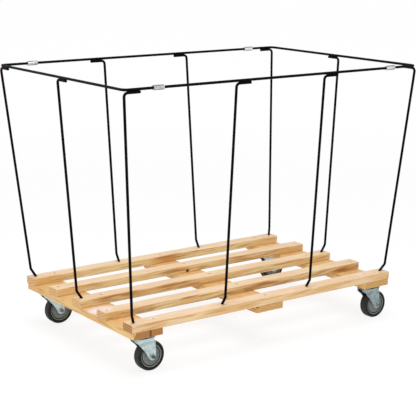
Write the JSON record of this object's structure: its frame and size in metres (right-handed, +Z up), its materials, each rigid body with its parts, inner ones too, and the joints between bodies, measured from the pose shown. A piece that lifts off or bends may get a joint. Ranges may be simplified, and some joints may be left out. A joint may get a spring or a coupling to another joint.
{
  "type": "basket bulk truck",
  "caption": "Basket bulk truck: an open black rod frame that widens up to a rectangular rim, set in a slatted wooden deck on swivel casters with solid wheels.",
  "frame": {"origin": "on the floor, below the middle of the bounding box", "axes": "+X along the truck, the way the casters trail; +Y from the front side to the back side; +Z up"},
  "size_m": [1.212, 0.847, 0.9515],
  "materials": {
    "slat_wood": "planed, clear coat",
    "cross_board_wood": "planed, clear coat",
    "frame_paint": "black semi-gloss enamel",
    "sleeve_steel": "bright zinc",
    "deck_screw_steel": "dull zinc",
    "fastener_steel": "bright zinc",
    "ball_steel": "polished, greased",
    "caster_zinc": "bluish zinc plate",
    "wheel_core_plastic": "moulded grey",
    "tyre_rubber": "matt, faint sheen"
  },
  "bodies": {
    "truck": {"slat_front": "slat_wood", "slat_front_inner": "slat_wood", "slat_middle": "slat_wood", "slat_back_inner": "slat_wood", "slat_back": "slat_wood", "cross_board_left": "cross_board_wood", "cross_board_middle": "cross_board_wood", "cross_board_right": "cross_board_wood", "deck_screws": "deck_screw_steel", "end_rail_left": "frame_paint", "end_rail_right": "frame_paint", "side_rail_front": "frame_paint", "side_rail_back": "frame_paint", "rim_sleeves": "sleeve_steel", "post_corner_front_left": "frame_paint", "post_front_left": "frame_paint", "post_front_right": "frame_paint", "post_corner_front_right": "frame_paint", "post_right_end": "frame_paint", "post_corner_back_right": "frame_paint", "post_back_right": "frame_paint", "post_back_left": "frame_paint", "post_corner_back_left": "frame_paint", "post_left_end": "frame_paint", "post_welds": "frame_paint", "plate_screws": "fastener_steel", "swivel_balls": "ball_steel", "caster_plate_front_left": "caster_zinc", "kingpin_front_left": "fastener_steel", "caster_plate_front_right": "caster_zinc", "kingpin_front_right": "fastener_steel", "caster_plate_back_left": "caster_zinc", "kingpin_back_left": "fastener_steel", "caster_plate_back_right": "caster_zinc", "kingpin_back_right": "fastener_steel"},
    "swivel_front_left": {"fork_front_left": "caster_zinc", "axle_bolt_front_left": "fastener_steel", "axle_nut_front_left": "fastener_steel", "axle_sleeve_front_left": "fastener_steel"},
    "wheel_front_left": {"wheel_core_front_left": "wheel_core_plastic", "tyre_front_left": "tyre_rubber"},
    "swivel_front_right": {"fork_front_right": "caster_zinc", "axle_bolt_front_right": "fastener_steel", "axle_nut_front_right": "fastener_steel", "axle_sleeve_front_right": "fastener_steel"},
    "wheel_front_right": {"wheel_core_front_right": "wheel_core_plastic", "tyre_front_right": "tyre_rubber"},
    "swivel_back_left": {"fork_back_left": "caster_zinc", "axle_bolt_back_left": "fastener_steel", "axle_nut_back_left": "fastener_steel", "axle_sleeve_back_left": "fastener_steel"},
    "wheel_back_left": {"wheel_core_back_left": "wheel_core_plastic", "tyre_back_left": "tyre_rubber"},
    "swivel_back_right": {"fork_back_right": "caster_zinc", "axle_bolt_back_right": "fastener_steel", "axle_nut_back_right": "fastener_steel", "axle_sleeve_back_right": "fastener_steel"},
    "wheel_back_right": {"wheel_core_back_right": "wheel_core_plastic", "tyre_back_right": "tyre_rubber"}
  },
  "joints": [
    {"name": "swivel_turn_front_left", "type": "hinge", "parent": "truck", "child": "swivel_front_left", "pos_m": [-0.493, -0.31, 0.122], "axis": [0, 0, 1], "continuous": true},
    {"name": "wheel_spin_front_left", "type": "hinge", "parent": "swivel_front_left", "child": "wheel_front_left", "pos_m": [-0.459, -0.31, 0.051], "axis": [0, 1, 0], "continuous": true},
    {"name": "swivel_turn_front_right", "type": "hinge", "parent": "truck", "child": "swivel_front_right", "pos_m": [0.493, -0.31, 0.122], "axis": [0, 0, 1], "continuous": true},
    {"name": "wheel_spin_front_right", "type": "hinge", "parent": "swivel_front_right", "child": "wheel_front_right", "pos_m": [0.527, -0.31, 0.051], "axis": [0, 1, 0], "continuous": true},
    {"name": "swivel_turn_back_left", "type": "hinge", "parent": "truck", "child": "swivel_back_left", "pos_m": [-0.493, 0.31, 0.122], "axis": [0, 0, 1], "continuous": true},
    {"name": "wheel_spin_back_left", "type": "hinge", "parent": "swivel_back_left", "child": "wheel_back_left", "pos_m": [-0.459, 0.31, 0.051], "axis": [0, 1, 0], "continuous": true},
    {"name": "swivel_turn_back_right", "type": "hinge", "parent": "truck", "child": "swivel_back_right", "pos_m": [0.493, 0.31, 0.122], "axis": [0, 0, 1], "continuous": true},
    {"name": "wheel_spin_back_right", "type": "hinge", "parent": "swivel_back_right", "child": "wheel_back_right", "pos_m": [0.527, 0.31, 0.051], "axis": [0, 1, 0], "continuous": true}
  ]
}
